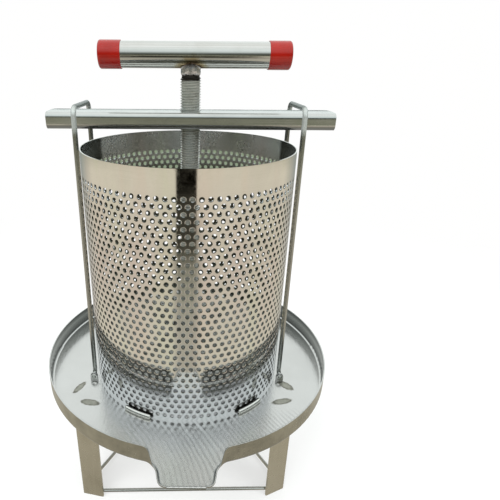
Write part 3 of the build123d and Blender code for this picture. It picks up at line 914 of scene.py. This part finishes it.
# ---------------------------------------------------------------------------
# materials on the CAD nodes
NODE_LOOKS = {
    "tray_pan": "tray",
    "leg_front_left": "leg", "leg_front_right": "leg", "leg_rear": "leg",
    "tie_rod_front": "rod", "tie_rod_left": "rod", "tie_rod_right": "rod",
    "basket_locators": "locator", "hoop_lugs_left": "lug", "hoop_lugs_right": "lug",
    "hoop_left": "hoop", "hoop_right": "hoop",
    "hoop_clips_left": "clip", "hoop_clips_right": "clip",
    "basket_base": "base", "crossbeam": "beam", "beam_nut": "bronze",
    "press_plate": "plate", "plate_ribs": "plate", "plate_hub": "plate",
    "hub_bolts": "clip", "thrust_washer": "bronze",
    "handle_tube": "handle", "handle_cap_left": "cap", "handle_cap_right": "cap",
    "basket_shell": "rod", "screw_spindle": "rod", "handle_weld": "rod",
}
for name, key in NODE_LOOKS.items():
    set_material(nodes[name], looks[key])
for name in ("handle_cap_left", "handle_cap_right", "hoop_left", "hoop_right"):
    nodes[name].visible_glossy = False      # keeps red and hoops out of the beam's polish


# ---------------------------------------------------------------------------
# stage: pale floor, soft studio light, camera
WHITE = (1.0, 1.0, 0.997)


def through_far_wall(mat):
    """1 on sight lines that come over the near rim and out through the far wall's holes.

    Solves for where the line from the floor point to the eye crosses the basket's wall.
    """
    place = mat.xyz(mat.get("NewGeometry", "Position"))
    eye = mat.xyz(mat.get("NewGeometry", "Incoming"))
    x, y = place[0] - BASKET_X, place[1] - AXIS_Y
    square = eye[0] * eye[0] + eye[1] * eye[1]
    half_linear = x * eye[0] + y * eye[1]
    constant = x * x + y * y - BASKET_R * BASKET_R
    disc = half_linear * half_linear - square * constant
    root = mat.math("SQRT", mat.math("MAXIMUM", disc, 0.0))
    far = (half_linear * -1.0 - root) / square
    near = (root - half_linear) / square
    far_z = far * eye[2]
    near_z = near * eye[2]
    through = (disc > 0.0) * (far > 0.0)
    through = through * ((far_z > BASKET_BOTTOM) * (far_z < BASKET_TOP - 0.003))
    through = through * (near_z > BASKET_TOP)
    return through * mat.get("LightPath", "Is Camera Ray")


def floor_material():
    """Pale ground that turns into plain white away from the press, painted dark where it is
    seen through the basket's far wall.
    """
    mat = new_material("floor_m")
    tone = mat.mix(mat.noise(scale=3.0, detail=3.0), (0.91, 0.91, 0.905), (0.95, 0.95, 0.945))
    ground = mat.get("BsdfDiffuse", in_Color=tone, in_Roughness=0.5)
    glow = mat.get("Emission", in_Color=WHITE, in_Strength=1.0)
    distance = mat.get("VectorMath", "Value", operation="LENGTH", in_0=mat.point)
    fade = distance.remap(over=(0.20, 1.10), to=(0.58, 1.0), smooth=True)
    pale = mat.get("MixShader", in_0=fade, in_1=ground, in_2=glow)
    # painted shade: the floor seen over the near rim through the far wall's holes is painted
    # dark green
    shade_through_holes = mat.get("Emission", in_Color=(0.25, 0.31, 0.21), in_Strength=1.0)
    veil = mat.get("MixShader", in_0=through_far_wall(mat), in_1=pale, in_2=shade_through_holes)
    mat.put(mat.output.inputs[0], veil)
    return mat.owner


bpy.ops.mesh.primitive_plane_add(size=12, location=(0, 0, 0))
floor = bpy.context.object
floor.name = "studio_floor"
set_material(floor, floor_material())
floor.visible_glossy = False

# surroundings seen in reflections: (elevation in degrees, colour)
FRONT_ROOM = [
    (-90, (0.60, 0.59, 0.56)), (-68, (0.52, 0.51, 0.47)), (-50, (0.50, 0.46, 0.38)),
    (-36, (0.68, 0.645, 0.53)), (-25, (0.66, 0.575, 0.49)), (-18, (0.70, 0.64, 0.53)),
    (-12.5, (0.74, 0.685, 0.555)), (-9, (0.36, 0.355, 0.265)), (-5.5, (0.185, 0.19, 0.135)),
    (-2, (0.07, 0.072, 0.055)), (5, (0.055, 0.062, 0.052)), (13, (0.20, 0.22, 0.20)),
    (25, (0.72, 0.79, 0.79)), (40, (0.90, 0.98, 0.98)), (90, (1.0, 1.03, 1.02))]
BACK_ROOM = [
    (-90, (0.55, 0.54, 0.51)), (-30, (0.50, 0.50, 0.475)), (-8, (0.30, 0.32, 0.29)),
    (-2, (0.10, 0.125, 0.115)), (2.2, (0.10, 0.13, 0.12)), (4.8, (0.72, 0.80, 0.785)),
    (8, (0.93, 1.0, 0.985)), (90, (1.0, 1.03, 1.02))]
PERSON = [
    (-90, (0.62, 0.62, 0.60)), (-74, (0.55, 0.54, 0.50)), (-62, (0.15, 0.145, 0.115)),
    (-52, (0.16, 0.155, 0.125)), (-45, (0.47, 0.44, 0.36)), (-34, (0.44, 0.42, 0.35)),
    (-28, (0.31, 0.30, 0.24)), (-23, (0.22, 0.21, 0.16))]


def build_world(world):
    """White to the camera; reflections see a room in front and behind, and a person."""
    sky = Graph(world, output="OutputWorld", coords="Generated", spare=())
    x, y, z = sky.xyz()
    upward = z * 0.5 + 0.5                  # 0 straight down, 1 straight up

    def by_elevation(rows):
        return sky.ramp(upward, [(0.5 + 0.5 * math.sin(math.radians(degrees)), color)
                                 for degrees, color in rows])

    def window(angle, rise, fall):
        return angle.remap(over=rise, smooth=True) * angle.remap(over=fall, smooth=True)

    front, back = by_elevation(FRONT_ROOM), by_elevation(BACK_ROOM)
    to_degrees = 180 / math.pi
    azimuth = sky.math("ARCTAN2", x, y * -1.0) * to_degrees    # 0 at the front, + to the right
    elevation = sky.math("ARCSINE", z) * to_degrees
    # someone standing in front of the press, dark against the ground
    shade = (window(azimuth, rise=(-20.0, -8.0), fall=(19.0, 5.0))
             * elevation.remap(over=(-14.0, -24.0), smooth=True))
    front = sky.mix(shade, front, by_elevation(PERSON))
    # a still darker block within the same azimuths
    dark = (window(azimuth, rise=(-12.6, -11.2), fall=(9.4, 8.0))
            * window(elevation, rise=(-26.0, -22.5), fall=(-9.5, -11.5)))
    block = sky.mix(elevation.remap(over=(-16.6, -14.8), smooth=True),
                    (0.050, 0.047, 0.035), (0.0015, 0.0012, 0.0006))
    front = sky.mix(dark, front, block)
    behind = sky.math("ADD", y * 2.5, -1.12, clamp=True)
    room = sky.mix(behind, front, back)
    color = sky.mix(sky.get("LightPath", "Is Camera Ray"), room, WHITE)
    sky.put(sky.output.inputs[0], sky.get("Background", in_0=color, in_1=1.0))


world = bpy.data.worlds.new("studio")
bpy.context.scene.world = world
build_world(world)

# name, place, diameter, watts
LIGHTS = [("key_soft", (-0.9, -1.1, 2.0), 1.4, 30),
          ("fill_soft", (1.3, -0.9, 1.5), 1.2, 14),
          ("back_soft", (0.2, 1.6, 1.6), 1.2, 12)]
LIGHT_TARGET = Vector((0, 0, 0.2))
for name, place, diameter, watts in LIGHTS:
    light = bpy.data.lights.new(name, "AREA")
    light.shape = "DISK"
    light.size = diameter
    light.energy = watts
    light.color = (1, 1, 1)
    lamp = link_object(name, light)
    lamp.location = place
    lamp.rotation_euler = (LIGHT_TARGET - Vector(place)).to_track_quat("-Z", "Y").to_euler()
    lamp.visible_glossy = False

# camera in front of the basket: pitch is downwards, pan to the right
PITCH, PAN, ROLL = math.radians(23.10), math.radians(0.19), math.radians(0.40)
lens = bpy.data.cameras.new("cam")
camera = link_object("cam", lens)
bpy.context.scene.camera = camera
lens.sensor_fit = "HORIZONTAL"
lens.sensor_width = 36.0
lens.lens = 31.4352
lens.shift_x = 0.122
lens.shift_y = -0.0012
lens.clip_start = 0.01
camera.location = (BASKET_X, AXIS_Y - 0.4573, TRAY_Z + 0.3420)
forward = Vector((math.sin(PAN) * math.cos(PITCH), math.cos(PAN) * math.cos(PITCH),
                  -math.sin(PITCH)))
right = Vector((math.cos(PAN), -math.sin(PAN), 0))
up = right.cross(forward)
rolled_right = math.cos(ROLL) * right + math.sin(ROLL) * up
rolled_up = -math.sin(ROLL) * right + math.cos(ROLL) * up
camera.rotation_euler = Matrix((rolled_right, rolled_up, -forward)).transposed().to_euler()

view = bpy.context.scene.view_settings
view.view_transform = "Standard"
view.look = "None"
view.exposure = 0.0
view.gamma = 1.0
